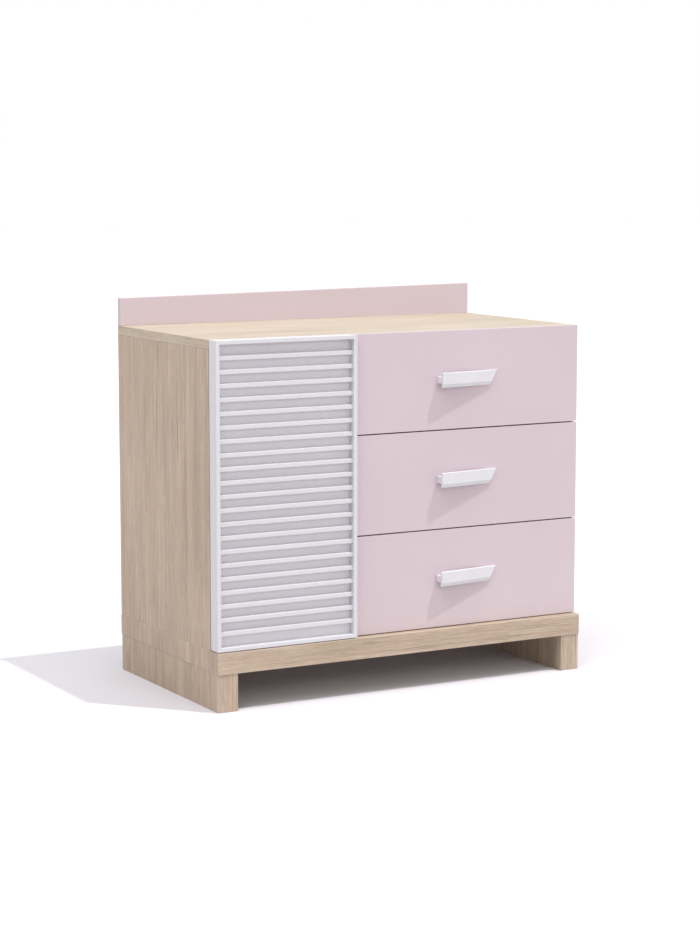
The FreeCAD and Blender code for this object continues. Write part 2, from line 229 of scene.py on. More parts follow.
def finished_piece(made, name, finish, smooth_turn=SMOOTH_TURN):
    """Turns the bmesh into a piece with its finish."""
    mesh = bpy.data.meshes.new(name)
    made.to_mesh(mesh)
    made.free()
    mesh.materials.append(finish)
    piece = new_piece(name, mesh)
    even_out(piece, smooth_turn)
    return piece


def board(node, name, body, finish, ease, grain, end_grain, cuts, smooth_turn=SMOOTH_TURN):
    """A board in place of its node: joined, eased, grained, riding on its body."""
    made = clean_copy(node)
    ease_edges(made, ease)
    lay_grain(made, grain, end_grain, cuts)
    piece = finished_piece(made, name, finish, smooth_turn)
    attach(piece, body)
    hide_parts(node)
    return piece


oak = oak_decor("pale_oak_decor", dark=(0.395, 0.294, 0.217), middle=(0.510, 0.392, 0.298),
                light=(0.605, 0.478, 0.374), streak_share=0.30)
BASE_EASE = 0.0014
board("base_board", "base_slab", "cabinet", oak, BASE_EASE, X, Z, sheet_cuts)


# ---- Legs and the screws that hold them ----
# Two deep bearers under the ends of the base, faced like it with the grain standing upright.
# Three long countersunk steel screws go down through the slab into each.
LEG_EASE = 0.0009
for side in ("left", "right"):
    board(f"{side}_leg", f"{side}_bearer", "cabinet", oak, LEG_EASE, Z, Y, sheet_cuts)


def zinc_plate():
    """Bright zinc plating on steel: a cool grey with a faint yellow bloom and fine rolling marks."""
    finish, tree, skin = fresh_finish("bright_zinc_plate")
    place = object_place(tree)
    bloom = noise(tree, place, (38.0, 38.0, 38.0), 3.0, 0.55, 0.4)
    marks = noise(tree, place, (900.0, 60.0, 900.0), 3.0, 0.6)
    plate = tones(tree, bloom, (0.34, (0.58, 0.60, 0.63)), (0.52, (0.66, 0.67, 0.68)),
                  (0.70, (0.70, 0.68, 0.62)))
    tree.links.new(plate, skin.inputs["Base Color"])
    tree.links.new(spread_to(tree, marks, 0.3, 0.7, 0.26, 0.42), skin.inputs["Roughness"])
    skin.inputs["Metallic"].default_value = 1.0
    bumped(tree, skin, marks, 0.15, 0.00005)
    return finish


def solids_of(node):
    """(lowest corner, highest corner) of each separate solid in a node."""
    made = clean_copy(node)
    left = set(made.verts)
    boxes = []
    while left:
        reached = {left.pop()}
        waiting = list(reached)
        while waiting:
            here = waiting.pop()
            found = {edge.other_vert(here) for edge in here.link_edges} - reached
            reached |= found
            waiting.extend(found)
        left -= reached
        spots = [vertex.co for vertex in reached]
        boxes.append((Vector([min(spot[axis] for spot in spots) for axis in (X, Y, Z)]),
                      Vector([max(spot[axis] for spot in spots) for axis in (X, Y, Z)])))
    made.free()
    return sorted(boxes, key=lambda pair: [round(value, 5) for value in pair[0]])


def new_tree(name, sizes):
    """An empty geometry tree with its own named sizes, its input node and its output node."""
    tree = bpy.data.node_groups.new(name, "GeometryNodeTree")
    tree.interface.new_socket(name="Geometry", in_out="INPUT", socket_type="NodeSocketGeometry")
    tree.interface.new_socket(name="Geometry", in_out="OUTPUT", socket_type="NodeSocketGeometry")
    for size in sizes:
        tree.interface.new_socket(name=size, in_out="INPUT", socket_type="NodeSocketFloat")
    return tree, tree.nodes.new("NodeGroupInput").outputs, tree.nodes.new("NodeGroupOutput").inputs


def moved(tree, shape, offset=None, turn=None):
    feeds = {"Geometry": shape}
    if offset is not None:
        feeds["Translation"] = offset
    if turn is not None:
        feeds["Rotation"] = turn
    return add_node(tree, "GeometryNodeTransform", feeds).outputs[0]


def vector(tree, x=0.0, y=0.0, z=0.0):
    return add_node(tree, "ShaderNodeCombineXYZ", {0: x, 1: y, 2: z}).outputs[0]


def boolean(tree, operation, first, *others):
    cut = tree.nodes.new("GeometryNodeMeshBoolean")
    cut.operation = operation
    cut.solver = "EXACT"
    if operation == "DIFFERENCE":
        tree.links.new(first, cut.inputs[0])
    else:
        tree.links.new(first, cut.inputs[1])
    for other in others:
        tree.links.new(other, cut.inputs[1])
    return cut.outputs[0]


def cross_recess(tree, width, depth):
    """The two crossed blades that cut a screw's driving recess, centred on the head's face."""
    thin = calc(tree, "MULTIPLY", width, BLADE_SHARE)
    deep = calc(tree, "MULTIPLY", depth, 2.0)
    blades = [add_node(tree, "GeometryNodeMeshCube", {"Size": vector(tree, *size)}).outputs[0]
              for size in ((width, thin, deep), (thin, width, deep))]
    return boolean(tree, "UNION", *blades)


def on_points(tree, points, shape, finish, out):
    """The shape stood on every point, its top turned the way the point says, made real."""
    way = add_node(tree, "GeometryNodeInputNamedAttribute", {"Name": "way"}, data_type="FLOAT_VECTOR")
    spin = add_node(tree, "GeometryNodeInputNamedAttribute", {"Name": "aside"}, data_type="FLOAT_VECTOR")
    turn = add_node(tree, "FunctionNodeAxesToRotation", {0: way.outputs[0], 1: spin.outputs[0]},
                    primary_axis="Z", secondary_axis="X")
    stood = add_node(tree, "GeometryNodeInstanceOnPoints",
                     {"Points": points, "Instance": shape, "Rotation": turn.outputs[0]})
    real = add_node(tree, "GeometryNodeRealizeInstances", {0: stood.outputs[0]})
    painted = add_node(tree, "GeometryNodeSetMaterial", {"Geometry": real.outputs[0], "Material": finish})
    tree.links.new(painted.outputs[0], out[0])


def screw_tree(finish):
    """A screw with a cross recess; its head's face is at the point and its shank runs below."""
    sizes = ("Head top", "Head foot", "Head depth", "Shank", "Length", "Recess", "Thread")
    tree, size, out = new_tree("cross_head_screw", sizes)
    head = add_node(tree, "GeometryNodeMeshCone",
                    {"Vertices": 28, "Radius Top": size["Head top"], "Radius Bottom": size["Head foot"],
                     "Depth": size["Head depth"]}).outputs[0]
    head = moved(tree, head, vector(tree, z=calc(tree, "MULTIPLY", size["Head depth"], -1.0)))
    turns = calc(tree, "DIVIDE", size["Length"], size["Thread"])
    whole = add_node(tree, "FunctionNodeFloatToInt", {0: turns}).outputs[0]
    shank = add_node(tree, "GeometryNodeMeshCylinder",
                     {"Vertices": 14, "Side Segments": whole, "Radius": size["Shank"],
                      "Depth": size["Length"]}).outputs[0]
    spot = add_node(tree, "GeometryNodeInputPosition", {}).outputs[0]
    parts = add_node(tree, "ShaderNodeSeparateXYZ", {0: spot})
    ring = calc(tree, "ROUND", calc(tree, "DIVIDE", parts.outputs[2], size["Thread"]))
    pinch = calc(tree, "MULTIPLY", calc(tree, "PINGPONG", ring, 1.0), -THREAD_GROOVE)
    shrink = vector(tree, calc(tree, "MULTIPLY", parts.outputs[0], pinch),
                    calc(tree, "MULTIPLY", parts.outputs[1], pinch))
    shank = add_node(tree, "GeometryNodeSetPosition", {"Geometry": shank, "Offset": shrink}).outputs[0]
    start = calc(tree, "MULTIPLY", size["Head depth"], -SHANK_START)
    drop = calc(tree, "MULTIPLY_ADD", size["Length"], -0.5, start)
    shank = moved(tree, shank, vector(tree, z=drop))
    whole_screw = boolean(tree, "UNION", head, shank)
    recess = cross_recess(tree, size["Recess"], calc(tree, "MULTIPLY", size["Head depth"], RECESS_DEPTH))
    on_points(tree, size["Geometry"], boolean(tree, "DIFFERENCE", whole_screw, recess), finish, out)
    return tree


def grown(name, tree, spots, sizes):
    """Runs a tree on points. Each spot is (place, way the top faces, way the side faces)."""
    seeds = bpy.data.meshes.new(name)
    seeds.from_pydata([spot[0] for spot in spots], [], [])
    for number, label in ((1, "way"), (2, "aside")):
        field = seeds.attributes.new(label, "FLOAT_VECTOR", "POINT")
        field.data.foreach_set("vector", [value for spot in spots for value in spot[number]])
    piece = new_piece(name, seeds)
    run = piece.modifiers.new("made", "NODES")
    run.node_group = tree
    for socket in tree.interface.items_tree:
        if socket.in_out == "INPUT" and socket.name in sizes:
            run[socket.identifier] = sizes[socket.name]
    settle(piece)
    return piece


def toward(axis, sign=1):
    way = Vector((0, 0, 0))
    way[axis] = sign
    return way


def countersunk(radius, foot, recess):
    """A countersunk head's radius at its face and at its foot, its depth and its recess's width."""
    return radius, foot, COUNTERSINK, recess


def screws(node, name, body, axis, sign_of, head, shank=None):
    """Cross-head screws in place of a node's plain ones. The head is (radius, foot, depth, recess)."""
    spots = []
    for low, high in solids_of(node):
        sign = sign_of(low, high)
        place = (low + high) / 2
        place[axis] = high[axis] if sign > 0 else low[axis]
        spots.append((place, toward(axis, sign), toward((axis + 1) % 3)))
    radius, foot, depth, recess = head
    length = high[axis] - low[axis] - SHANK_SHORTER * depth
    sizes = {"Head top": radius, "Head foot": foot, "Head depth": depth,
             "Shank": shank or foot * NECK_SHARE, "Length": length, "Recess": recess,
             "Thread": max(THREAD_STEP, length / MOST_RINGS)}
    piece = grown(name, screw, spots, sizes)
    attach(piece, body)
    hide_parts(node)


def always(sign):
    return lambda low, high: sign


COUNTERSINK = 0.0012
THREAD_STEP = 0.0009
MOST_RINGS = 60
THREAD_GROOVE = 0.14     # of the shank's radius
SHANK_START = 0.6        # of the head's depth, below its face
SHANK_SHORTER = 0.4      # of the head's depth, than the whole screw
RECESS_DEPTH = 0.75      # of the head's depth
NECK_SHARE = 0.96        # of the radius at the head's foot
BLADE_SHARE = 0.27       # of the recess's width
zinc = zinc_plate()
screw = screw_tree(zinc)
bearer_head = countersunk(radius=0.0055, foot=0.0030, recess=0.0058)
screws("leg_screws", "bearer_screws", "cabinet", Z, always(1), bearer_head)


# ---- Sides, bottom panel and partition ----
# 18 mm melamine-faced chipboard. The sides show the oak decor with upright grain; the bottom and
# the partition are white. All are bored for cams, dowels, shelf pins and runner screws.
BOARD_EASE = 0.0008
WHITE_EASE = 0.0005


def white_melamine():
    """White melamine facing: an even, slightly warm white with a fine pearl texture."""
    finish, tree, skin = fresh_finish("white_melamine_facing")
    place = object_place(tree)
    cloud = noise(tree, place, (6.0, 6.0, 6.0), 3.0)
    pearl = noise(tree, place, (1300.0, 1300.0, 1300.0), 2.0, 0.5)
    scuff = noise(tree, place, (40.0, 160.0, 90.0), 4.0, 0.65)
    white = tones(tree, cloud, (0.35, (0.72, 0.715, 0.70)), (0.65, (0.77, 0.765, 0.75)))
    white = blended(tree, spread_to(tree, scuff, 0.62, 0.80, 0.0, 0.22), white, (0.62, 0.61, 0.59))
    tree.links.new(white, skin.inputs["Base Color"])
    tree.links.new(spread_to(tree, pearl, 0.3, 0.7, 0.38, 0.52), skin.inputs["Roughness"])
    bumped(tree, skin, pearl, 0.20, 0.00006)
    return finish


melamine = white_melamine()
for side in ("left", "right"):
    board(f"{side}_side", f"{side}_oak_side", "cabinet", oak,
          BOARD_EASE, Z, Y, sheet_cuts)
for node, grain in (("bottom_panel", X), ("partition", Z)):
    board(node, f"white_{node}", "cabinet", melamine, WHITE_EASE, grain, Y, sheet_cuts)
panel_head = countersunk(radius=0.0045, foot=0.0025, recess=0.0048)
screws("base_screws", "bottom_panel_screws", "cabinet", Z, always(1), panel_head)


# ---- Cams and dowels of the carcass ----
# Each corner of the carcass has two cam locks, zinc discs that draw in a steel bolt when turned,
# and two fluted beech dowels that keep the boards in line.
def zinc_cast():
    """Die-cast zinc: dull warm grey with a fine grain from the mould."""
    finish, tree, skin = fresh_finish("die_cast_zinc")
    place = object_place(tree)
    cloud = noise(tree, place, (240.0, 240.0, 240.0), 3.0, 0.6)
    grit = noise(tree, place, (2200.0, 2200.0, 2200.0), 2.0)
    tree.links.new(tones(tree, cloud, (0.3, (0.36, 0.36, 0.37)), (0.7, (0.50, 0.50, 0.49))),
                   skin.inputs["Base Color"])
    tree.links.new(spread_to(tree, grit, 0.3, 0.7, 0.42, 0.60), skin.inputs["Roughness"])
    skin.inputs["Metallic"].default_value = 0.9
    bumped(tree, skin, grit, 0.35, 0.0001)
    return finish


def beech_wood():
    """Turned beech: pinkish tan with short darker flecks and a faint figure."""
    finish, tree, skin = fresh_finish("turned_beech")
    place = object_place(tree)
    figure = noise(tree, place, (70.0, 70.0, 70.0), 4.0, 0.6, 0.8)
    flecks = noise(tree, place, (700.0, 700.0, 700.0), 2.0, 0.5)
    wood = tones(tree, figure, (0.3, (0.52, 0.33, 0.20)), (0.7, (0.66, 0.45, 0.29)))
    wood = blended(tree, spread_to(tree, flecks, 0.58, 0.68, 0.0, 0.45), wood, (0.34, 0.19, 0.11))
    tree.links.new(wood, skin.inputs["Base Color"])
    tree.links.new(spread_to(tree, figure, 0.3, 0.7, 0.55, 0.72), skin.inputs["Roughness"])
    bumped(tree, skin, flecks, 0.3, 0.0001)
    return finish


def cam_tree(finish):
    """A cam disc with a driving cross, and the bolt that lies in its slot towards the joint."""
    sizes = ("Radius", "Depth", "Recess", "Bolt", "Bolt start", "Bolt length", "Half board")
    tree, size, out = new_tree("cam_and_bolt", sizes)
    disc = add_node(tree, "GeometryNodeMeshCylinder",
                    {"Vertices": 36, "Radius": size["Radius"], "Depth": size["Depth"]}).outputs[0]
    disc = moved(tree, disc, vector(tree, z=calc(tree, "MULTIPLY", size["Depth"], -0.5)))
    sink = calc(tree, "MULTIPLY", size["Half board"], -1.0)
    middle = calc(tree, "MULTIPLY_ADD", size["Bolt length"], 0.5, size["Bolt start"])
    quarter = (0.0, math.pi / 2, 0.0)

    def lying(radius):
        made = add_node(tree, "GeometryNodeMeshCylinder",
                        {"Vertices": 20, "Radius": radius, "Depth": size["Bolt length"]}).outputs[0]
        return moved(tree, made, vector(tree, x=middle, z=sink), quarter)

    channel = lying(calc(tree, "ADD", size["Bolt"], BOLT_PLAY))
    recess = cross_recess(tree, size["Recess"], CAM_RECESS_DEPTH)
    disc = boolean(tree, "DIFFERENCE", disc, channel, recess)
    both = tree.nodes.new("GeometryNodeJoinGeometry")
    for shape in (lying(size["Bolt"]), disc):
        tree.links.new(shape, both.inputs[0])
    on_points(tree, size["Geometry"], both.outputs[0], finish, out)
    return tree


def dowel_tree(finish):
    """A fluted dowel with tapered ends, lying along the way of its point."""
    tree, size, out = new_tree("fluted_dowel", ("Radius", "Length", "Flute", "Taper"))
    half = calc(tree, "MULTIPLY", size["Length"], 0.5)
    line = add_node(tree, "GeometryNodeCurvePrimitiveLine",
                    {"Start": vector(tree, z=calc(tree, "MULTIPLY", half, -1.0)),
                     "End": vector(tree, z=half)}).outputs[0]
    line = add_node(tree, "GeometryNodeResampleCurve", {"Curve": line, "Count": 16}).outputs[0]
    share = add_node(tree, "GeometryNodeSplineParameter", {}).outputs[0]
    from_end = calc(tree, "MINIMUM", share, calc(tree, "SUBTRACT", 1.0, share))
    at_end = calc(tree, "LESS_THAN", from_end, DOWEL_END)
    narrow = calc(tree, "SUBTRACT", 1.0, calc(tree, "MULTIPLY", at_end, size["Taper"]))
    inner = calc(tree, "SUBTRACT", size["Radius"], size["Flute"])
    star = add_node(tree, "GeometryNodeCurveStar",
                    {"Points": 14, "Inner Radius": inner, "Outer Radius": size["Radius"]}).outputs[0]
    rod = add_node(tree, "GeometryNodeCurveToMesh",
                   {"Curve": line, "Profile Curve": star, "Scale": narrow, "Fill Caps": True}).outputs[0]
    on_points(tree, size["Geometry"], rod, finish, out)
    return tree


beech = beech_wood()
cast = zinc_cast()
CAM_DEPTH = 0.0125
CAM_RECESS_DEPTH = 0.0022
BOLT_PLAY = 0.0005
CAM_SIZES = {"Radius": 0.00745, "Depth": CAM_DEPTH, "Recess": 0.0072, "Bolt": 0.003,
             "Bolt start": 0.0035, "Bolt length": 0.032, "Half board": 0.009}
DOWEL_END = 0.02         # of the dowel's length, tapered
DOWEL_SIZES = {"Radius": 0.004, "Length": 0.030, "Flute": 0.0003, "Taper": 0.18}


def cam_spots():
    """Where each cam's face is, which way it faces and which way its bolt lies."""
    solids = solids_of("cam_locks")
    bolts = [pair for pair in solids if max(pair[1] - pair[0]) > 2 * CAM_DEPTH]
    discs = [pair for pair in solids if pair not in bolts]
    partition_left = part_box("partition")[0].x
    spots = []
    for low, high in discs:
        middle = (low + high) / 2
        spans = high - low
        facing = min((X, Y, Z), key=lambda axis: spans[axis])
        inward = 1 if facing == Z or middle.x < partition_left else -1
        face = middle.copy()
        face[facing] = high[facing] if inward > 0 else low[facing]
        nearest = min(bolts, key=lambda pair: ((pair[0] + pair[1]) / 2 - middle).length)
        reach = (nearest[0] + nearest[1]) / 2 - middle
        along = max((X, Y, Z), key=lambda axis: abs(reach[axis]))
        spots.append((face, toward(facing, inward), toward(along, math.copysign(1, reach[along]))))
    return spots


def dowel_spots():
    spots = []
    for low, high in solids_of("dowels"):
        along = max((X, Y, Z), key=lambda axis: (high - low)[axis])
        spots.append(((low + high) / 2, toward(along), toward((along + 1) % 3)))
    return spots


cams = grown("cams_and_bolts", cam_tree(cast), cam_spots(), CAM_SIZES)
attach(cams, "cabinet")
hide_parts("cam_locks")
pegs = grown("fluted_dowels", dowel_tree(beech), dowel_spots(), DOWEL_SIZES)
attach(pegs, "cabinet")
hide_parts("dowels")


# ---- Thin back ----
# 3 mm white-coated hardboard that slides into grooves all round and keeps the carcass square.
def hardboard():
    """White-coated hardboard: a matt coat over pressed fibre, faintly mottled."""
    finish, tree, skin = fresh_finish("coated_hardboard")
    place = object_place(tree)
    mottle = noise(tree, place, (110.0, 110.0, 110.0), 4.0, 0.65)
    fibre = noise(tree, place, (700.0, 700.0, 260.0), 3.0, 0.6, 0.5)
    tree.links.new(tones(tree, mottle, (0.3, (0.66, 0.655, 0.64)), (0.7, (0.73, 0.725, 0.71))),
                   skin.inputs["Base Color"])
    tree.links.new(spread_to(tree, mottle, 0.3, 0.7, 0.55, 0.70), skin.inputs["Roughness"])
    bumped(tree, skin, fibre, 0.30, 0.0001)
    return finish


coated = hardboard()
THIN_EASE = 0.0003
board("back_panel", "thin_back", "cabinet", coated, THIN_EASE, Z, X, sheet_cuts)


# ---- Shelf and its pins ----
# A loose white shelf in the cupboard. It lies on four plated pins, pushed into the row of holes.
def pin_tree(finish):
    """A straight pin with a thin collar that stops it at the board's face."""
    tree, size, out = new_tree("shelf_pin", ("Radius", "Length", "Bite", "Collar", "Collar depth"))
    pin = add_node(tree, "GeometryNodeMeshCylinder",
                   {"Vertices": 24, "Radius": size["Radius"], "Depth": size["Length"]}).outputs[0]
    out_by = calc(tree, "SUBTRACT", calc(tree, "MULTIPLY", size["Length"], 0.5), size["Bite"])
    pin = moved(tree, pin, vector(tree, z=out_by))
    collar = add_node(tree, "GeometryNodeMeshCylinder",
                      {"Vertices": 24, "Radius": size["Collar"],
                       "Depth": size["Collar depth"]}).outputs[0]
    lift = calc(tree, "MULTIPLY", size["Collar depth"], 0.5)
    collar = moved(tree, collar, vector(tree, z=lift))
    on_points(tree, size["Geometry"], boolean(tree, "UNION", pin, collar), finish, out)
    return tree


PIN_BITE = 0.008
PIN_SIZES = {"Radius": 0.0025, "Length": 0.016, "Bite": PIN_BITE, "Collar": 0.0036,
             "Collar depth": 0.0008}


def pin_spots():
    """Each pin's place on the board's face, and the way into the cupboard."""
    middle = sum(corner.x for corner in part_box("shelf")) / 2
    spots = []
    for low, high in solids_of("shelf_pins"):
        place = (low + high) / 2
        inward = 1 if place.x < middle else -1
        place.x = low.x + PIN_BITE if inward > 0 else high.x - PIN_BITE
        spots.append((place, toward(X, inward), toward(Z)))
    return spots


board("shelf", "loose_shelf", "cabinet", melamine, WHITE_EASE, X, Y, sheet_cuts)
pins = grown("collared_shelf_pins", pin_tree(zinc), pin_spots(), PIN_SIZES)
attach(pins, "cabinet")
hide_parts("shelf_pins")


# ---- Top board ----
# The 22 mm top is the changing surface, faced with the oak decor; its long grain runs across.
TOP_EASE = 0.0010
# Painted light: the top's oak is a lighter, less yellow copy of the sides' decor, standing in for the
# stronger light on the top.
oak_with_painted_top_light = oak_decor("oak_decor_painted_top_light", dark=(0.440, 0.342, 0.250), middle=(0.552, 0.455, 0.352),
                     light=(0.630, 0.548, 0.440), streak_share=0.38)
board("top_board", "changing_top", "cabinet", oak_with_painted_top_light, TOP_EASE, X, Y, sheet_cuts)


# ---- Back rail ----
# An 18 mm board in pink lacquer that keeps things from falling behind; a little taller on the right.
# Four screws come up through the top into it.
def lacquer(name, tone, shade, edge_highlight):
    """Sprayed satin lacquer: one colour that drifts a little, a fine peel, and a painted highlight in
    patches on the eased edges.
    """
    finish, tree, skin = fresh_finish(name)
    place = object_place(tree)
    drift = noise(tree, place, (3.0, 3.0, 3.0), 2.0)
    peel = noise(tree, place, (420.0, 420.0, 420.0), 3.0, 0.5)
    patch_noise = noise(tree, place, (90.0, 90.0, 90.0), 4.0, 0.7)
    coat = tones(tree, drift, (0.35, shade), (0.65, tone))
    # Painted highlight: the eased edges are lightened in patches towards the last colour.
    edge_highlight_patches = spread_to(tree, patch_noise, 0.40, 0.65, 0.15, 0.75)
    painted_edge_highlight = calc(tree, "MULTIPLY", attribute(tree, "eased"), edge_highlight_patches)
    coat = blended(tree, painted_edge_highlight, coat, edge_highlight)
    tree.links.new(coat, skin.inputs["Base Color"])
    tree.links.new(spread_to(tree, patch_noise, 0.3, 0.7, 0.36, 0.46), skin.inputs["Roughness"])
    skin.inputs["Specular IOR Level"].default_value = 0.40
    bumped(tree, skin, peel, 0.12, 0.00008)
    return finish


# The last colour is a painted highlight for the eased edges.
pink = lacquer("pink_satin_lacquer", tone=(0.638, 0.537, 0.570), shade=(0.621, 0.519, 0.553),
               edge_highlight=(0.80, 0.71, 0.73))
RAIL_EASE = 0.0010
board("back_rail", "pink_back_rail", "cabinet", pink, RAIL_EASE, X, Z, sheet_cuts)
rail_head = countersunk(radius=0.00425, foot=0.00225, recess=0.0046)
screws("rail_screws", "rail_fixing_screws", "cabinet", Z, always(-1), rail_head)


# ---- Wall brackets ----
# Two small plated angles under the top hold the cabinet back to the wall, so it can't tip.
STEEL_EASE = 0.0003


def soft_steel(node, finish, ease=STEEL_EASE):
    """A steel node kept as it is: its edges are eased by modifiers and it gets its finish."""
    kept = nodes[node]
    joined = kept.modifiers.new("joined", "WELD")
    joined.merge_threshold = WELD_DISTANCE
    eased = kept.modifiers.new("eased", "BEVEL")
    eased.width = ease
    eased.segments = 2
    eased.limit_method = "ANGLE"
    eased.angle_limit = CORNER_TURN
    eased.harden_normals = True
    kept.material_slots[0].material = finish


soft_steel("wall_brackets", zinc)
bracket_head = countersunk(radius=0.0036, foot=0.0020, recess=0.0040)
screws("bracket_screws", "bracket_fixing_screws", "cabinet", Z, always(-1), bracket_head)


# ---- Door ----
# An 18 mm white lacquered panel with a frame of narrow bars glued round its face.
# Between the stiles lies a ladder of small slats, all alike, with the panel showing between them.
# The last colour is a painted highlight for the eased edges.
white = lacquer("white_satin_lacquer", tone=(0.690, 0.678, 0.708), shade=(0.673, 0.660, 0.692),
                edge_highlight=(0.93, 0.93, 0.94))
PANEL_EASE = 0.0008
BAR_EASE = 0.0006
for node, name, ease in (("door_panel", "lacquered_door_panel", PANEL_EASE),
                         ("door_left_stile", "left_stile_bar", BAR_EASE),
                         ("door_right_stile", "right_stile_bar", BAR_EASE),
                         ("door_bottom_rail", "bottom_rail_bar", BAR_EASE),
                         ("door_top_rail", "top_rail_bar", BAR_EASE)):
    board(node, name, "door", white, ease, Z, X, sheet_cuts)


def slat_tree(finish):
    """A ladder of equal slats with rounded corners, stacked upwards from the lowest one."""
    sizes = ("Length", "Depth", "Height", "Pitch", "Count", "Corner")
    tree, size, out = new_tree("slat_ladder", sizes)
    section = add_node(tree, "GeometryNodeCurvePrimitiveQuadrilateral",
                       {"Width": size["Depth"], "Height": size["Height"]}).outputs[0]
    section = add_node(tree, "GeometryNodeFilletCurve",
                       {"Curve": section, "Count": 2, "Radius": size["Corner"]}, mode="POLY").outputs[0]
    half = calc(tree, "MULTIPLY", size["Length"], 0.5)
    stick = add_node(tree, "GeometryNodeCurvePrimitiveLine",
                     {"Start": vector(tree, z=calc(tree, "MULTIPLY", half, -1.0)),
                      "End": vector(tree, z=half)}).outputs[0]
    slat = add_node(tree, "GeometryNodeCurveToMesh",
                    {"Curve": stick, "Profile Curve": section, "Fill Caps": True}).outputs[0]
    count = add_node(tree, "FunctionNodeFloatToInt", {0: size["Count"]}).outputs[0]
    rungs = add_node(tree, "GeometryNodeMeshLine",
                     {"Count": count, "Offset": vector(tree, z=size["Pitch"])}).outputs[0]
    stacked = add_node(tree, "GeometryNodeInstanceOnPoints",
                       {"Points": rungs, "Instance": slat, "Rotation": SLAT_TURN}).outputs[0]
    lifted = add_node(tree, "GeometryNodeInstanceOnPoints",
                      {"Points": size["Geometry"], "Instance": stacked}).outputs[0]
    real = add_node(tree, "GeometryNodeRealizeInstances", {0: lifted}).outputs[0]
    painted = add_node(tree, "GeometryNodeSetMaterial", {"Geometry": real, "Material": finish})
    tree.links.new(painted.outputs[0], out[0])
    return tree


SLAT_TURN = (math.pi / 2, 0.0, math.pi / 2)
SLAT_CORNER = 0.0012
slat_boxes = sorted(solids_of("door_slats"), key=lambda pair: pair[0].z)
low, high = slat_boxes[0]
slat_size = high - low
slat_pitch = slat_boxes[1][0].z - low.z
slat_sizes = {"Length": slat_size.x, "Depth": slat_size.y, "Height": slat_size.z, "Pitch": slat_pitch,
              "Count": float(len(slat_boxes)), "Corner": SLAT_CORNER}
lowest_slat = ((low + high) / 2, toward(Z), toward(X))
slats = grown("door_slat_ladder", slat_tree(white), [lowest_slat], slat_sizes)
even_out(slats)
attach(slats, "door")
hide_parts("door_slats")


# ---- Hinges and magnet ----
# Two concealed hinges: a plate and arm screwed inside the side, and a steel cup in the door.
# A small magnet in the top's edge holds the door shut against a plated disc.
HINGE_EASE = 0.0005
soft_steel("hinge_arms", zinc, HINGE_EASE)
soft_steel("hinge_cups", zinc)
soft_steel("door_magnet", cast)
soft_steel("door_strike", zinc)


def adjuster_spots():
    """Two adjusting screws on the face of each hinge arm."""
    spots = []
    for low, high in solids_of("hinge_arms"):
        middle = (low + high) / 2
        for share in ADJUSTER_SHARES:
            place = Vector((high.x + ADJUSTER_PROUD, low.y + share * (high.y - low.y), middle.z))
            spots.append((place, toward(X), toward(Y)))
    return spots


ADJUSTER_SHARES = (0.42, 0.80)     # of the hinge arm's depth, from its front
ADJUSTER_PROUD = 0.0004
ADJUSTER_SIZES = {"Head top": 0.0032, "Head foot": 0.0032, "Head depth": 0.0020, "Shank": 0.0020,
                  "Length": 0.0040, "Recess": 0.0040, "Thread": 0.0010}
adjusters = grown("hinge_adjusters", screw, adjuster_spots(), ADJUSTER_SIZES)
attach(adjusters, "cabinet")


# ---- Drawers ----
# Each drawer is a white box of 16 mm boards with a 3 mm bottom, behind an 18 mm pink front.
# It runs on telescopic steel runners, and its handle is a powder-coated plate, cast
# with a wedge behind it that two screws pull against the front.
def left_or_right(low, high):
    return 1 if (low.x + high.x) / 2 < 0 else -1


def powder_coat():
    """White powder coat on cast metal: a fine dry texture that dulls the highlights."""
    finish, tree, skin = fresh_finish("white_powder_coat")
    place = object_place(tree)
    grit = noise(tree, place, (1500.0, 1500.0, 1500.0), 3.0, 0.55)
    drift = noise(tree, place, (30.0, 30.0, 30.0), 3.0)
    coat = tones(tree, drift, (0.35, (0.70, 0.69, 0.72)), (0.65, (0.73, 0.72, 0.75)))
    # Painted highlight: the eased edges are lightened in patches towards near white.
    edge_highlight_patches = spread_to(tree, drift, 0.35, 0.65, 0.1, 0.6)
    painted_edge_highlight = calc(tree, "MULTIPLY", attribute(tree, "eased"), edge_highlight_patches)
    coat = blended(tree, painted_edge_highlight, coat, (0.92, 0.92, 0.94))
    tree.links.new(coat, skin.inputs["Base Color"])
    tree.links.new(spread_to(tree, grit, 0.3, 0.7, 0.42, 0.58), skin.inputs["Roughness"])
    bumped(tree, skin, grit, 0.25, 0.0001)
    return finish


HANDLE_SCREW_SHANK = 0.0020
PAN_HEAD = (0.0036, 0.0040, 0.0025, 0.0046)     # radius at the face, at the foot, depth, recess
FRONT_EASE = 0.0006
RUNNER_EASE = 0.0002
HANDLE_EASE = 0.0007
HANDLE_SMOOTH_TURN = math.radians(15)
coat = powder_coat()
system_head = countersunk(radius=0.0036, foot=0.0025, recess=0.0040)
screws("system_screws", "runner_and_hinge_screws", "cabinet", X, left_or_right, system_head)
for number in (1, 2, 3):
    drawer = f"drawer_{number}"
    board(f"{drawer}_front", f"{drawer}_pink_front", drawer, pink,
          FRONT_EASE, X, Z, sheet_cuts)
    for part, grain in (("left_side", Y), ("right_side", Y), ("back", X)):
        board(f"{drawer}_{part}", f"{drawer}_white_{part}", drawer, melamine,
              WHITE_EASE, grain, Z, sheet_cuts)
    board(f"{drawer}_bottom", f"{drawer}_thin_bottom", drawer, coated,
          THIN_EASE, X, Y, sheet_cuts)
    board(f"{drawer}_handle", f"{drawer}_plate_handle", drawer, coat,
          HANDLE_EASE, X, Z, sheet_cuts, HANDLE_SMOOTH_TURN)
    screws(f"{drawer}_handle_screws", f"{drawer}_pan_screws", drawer, Y, always(1), PAN_HEAD,
           HANDLE_SCREW_SHANK)
    for node in (f"{drawer}_cabinet_runners", f"runner_{number}_middle_members", f"{drawer}_runners"):
        soft_steel(node, zinc, RUNNER_EASE)


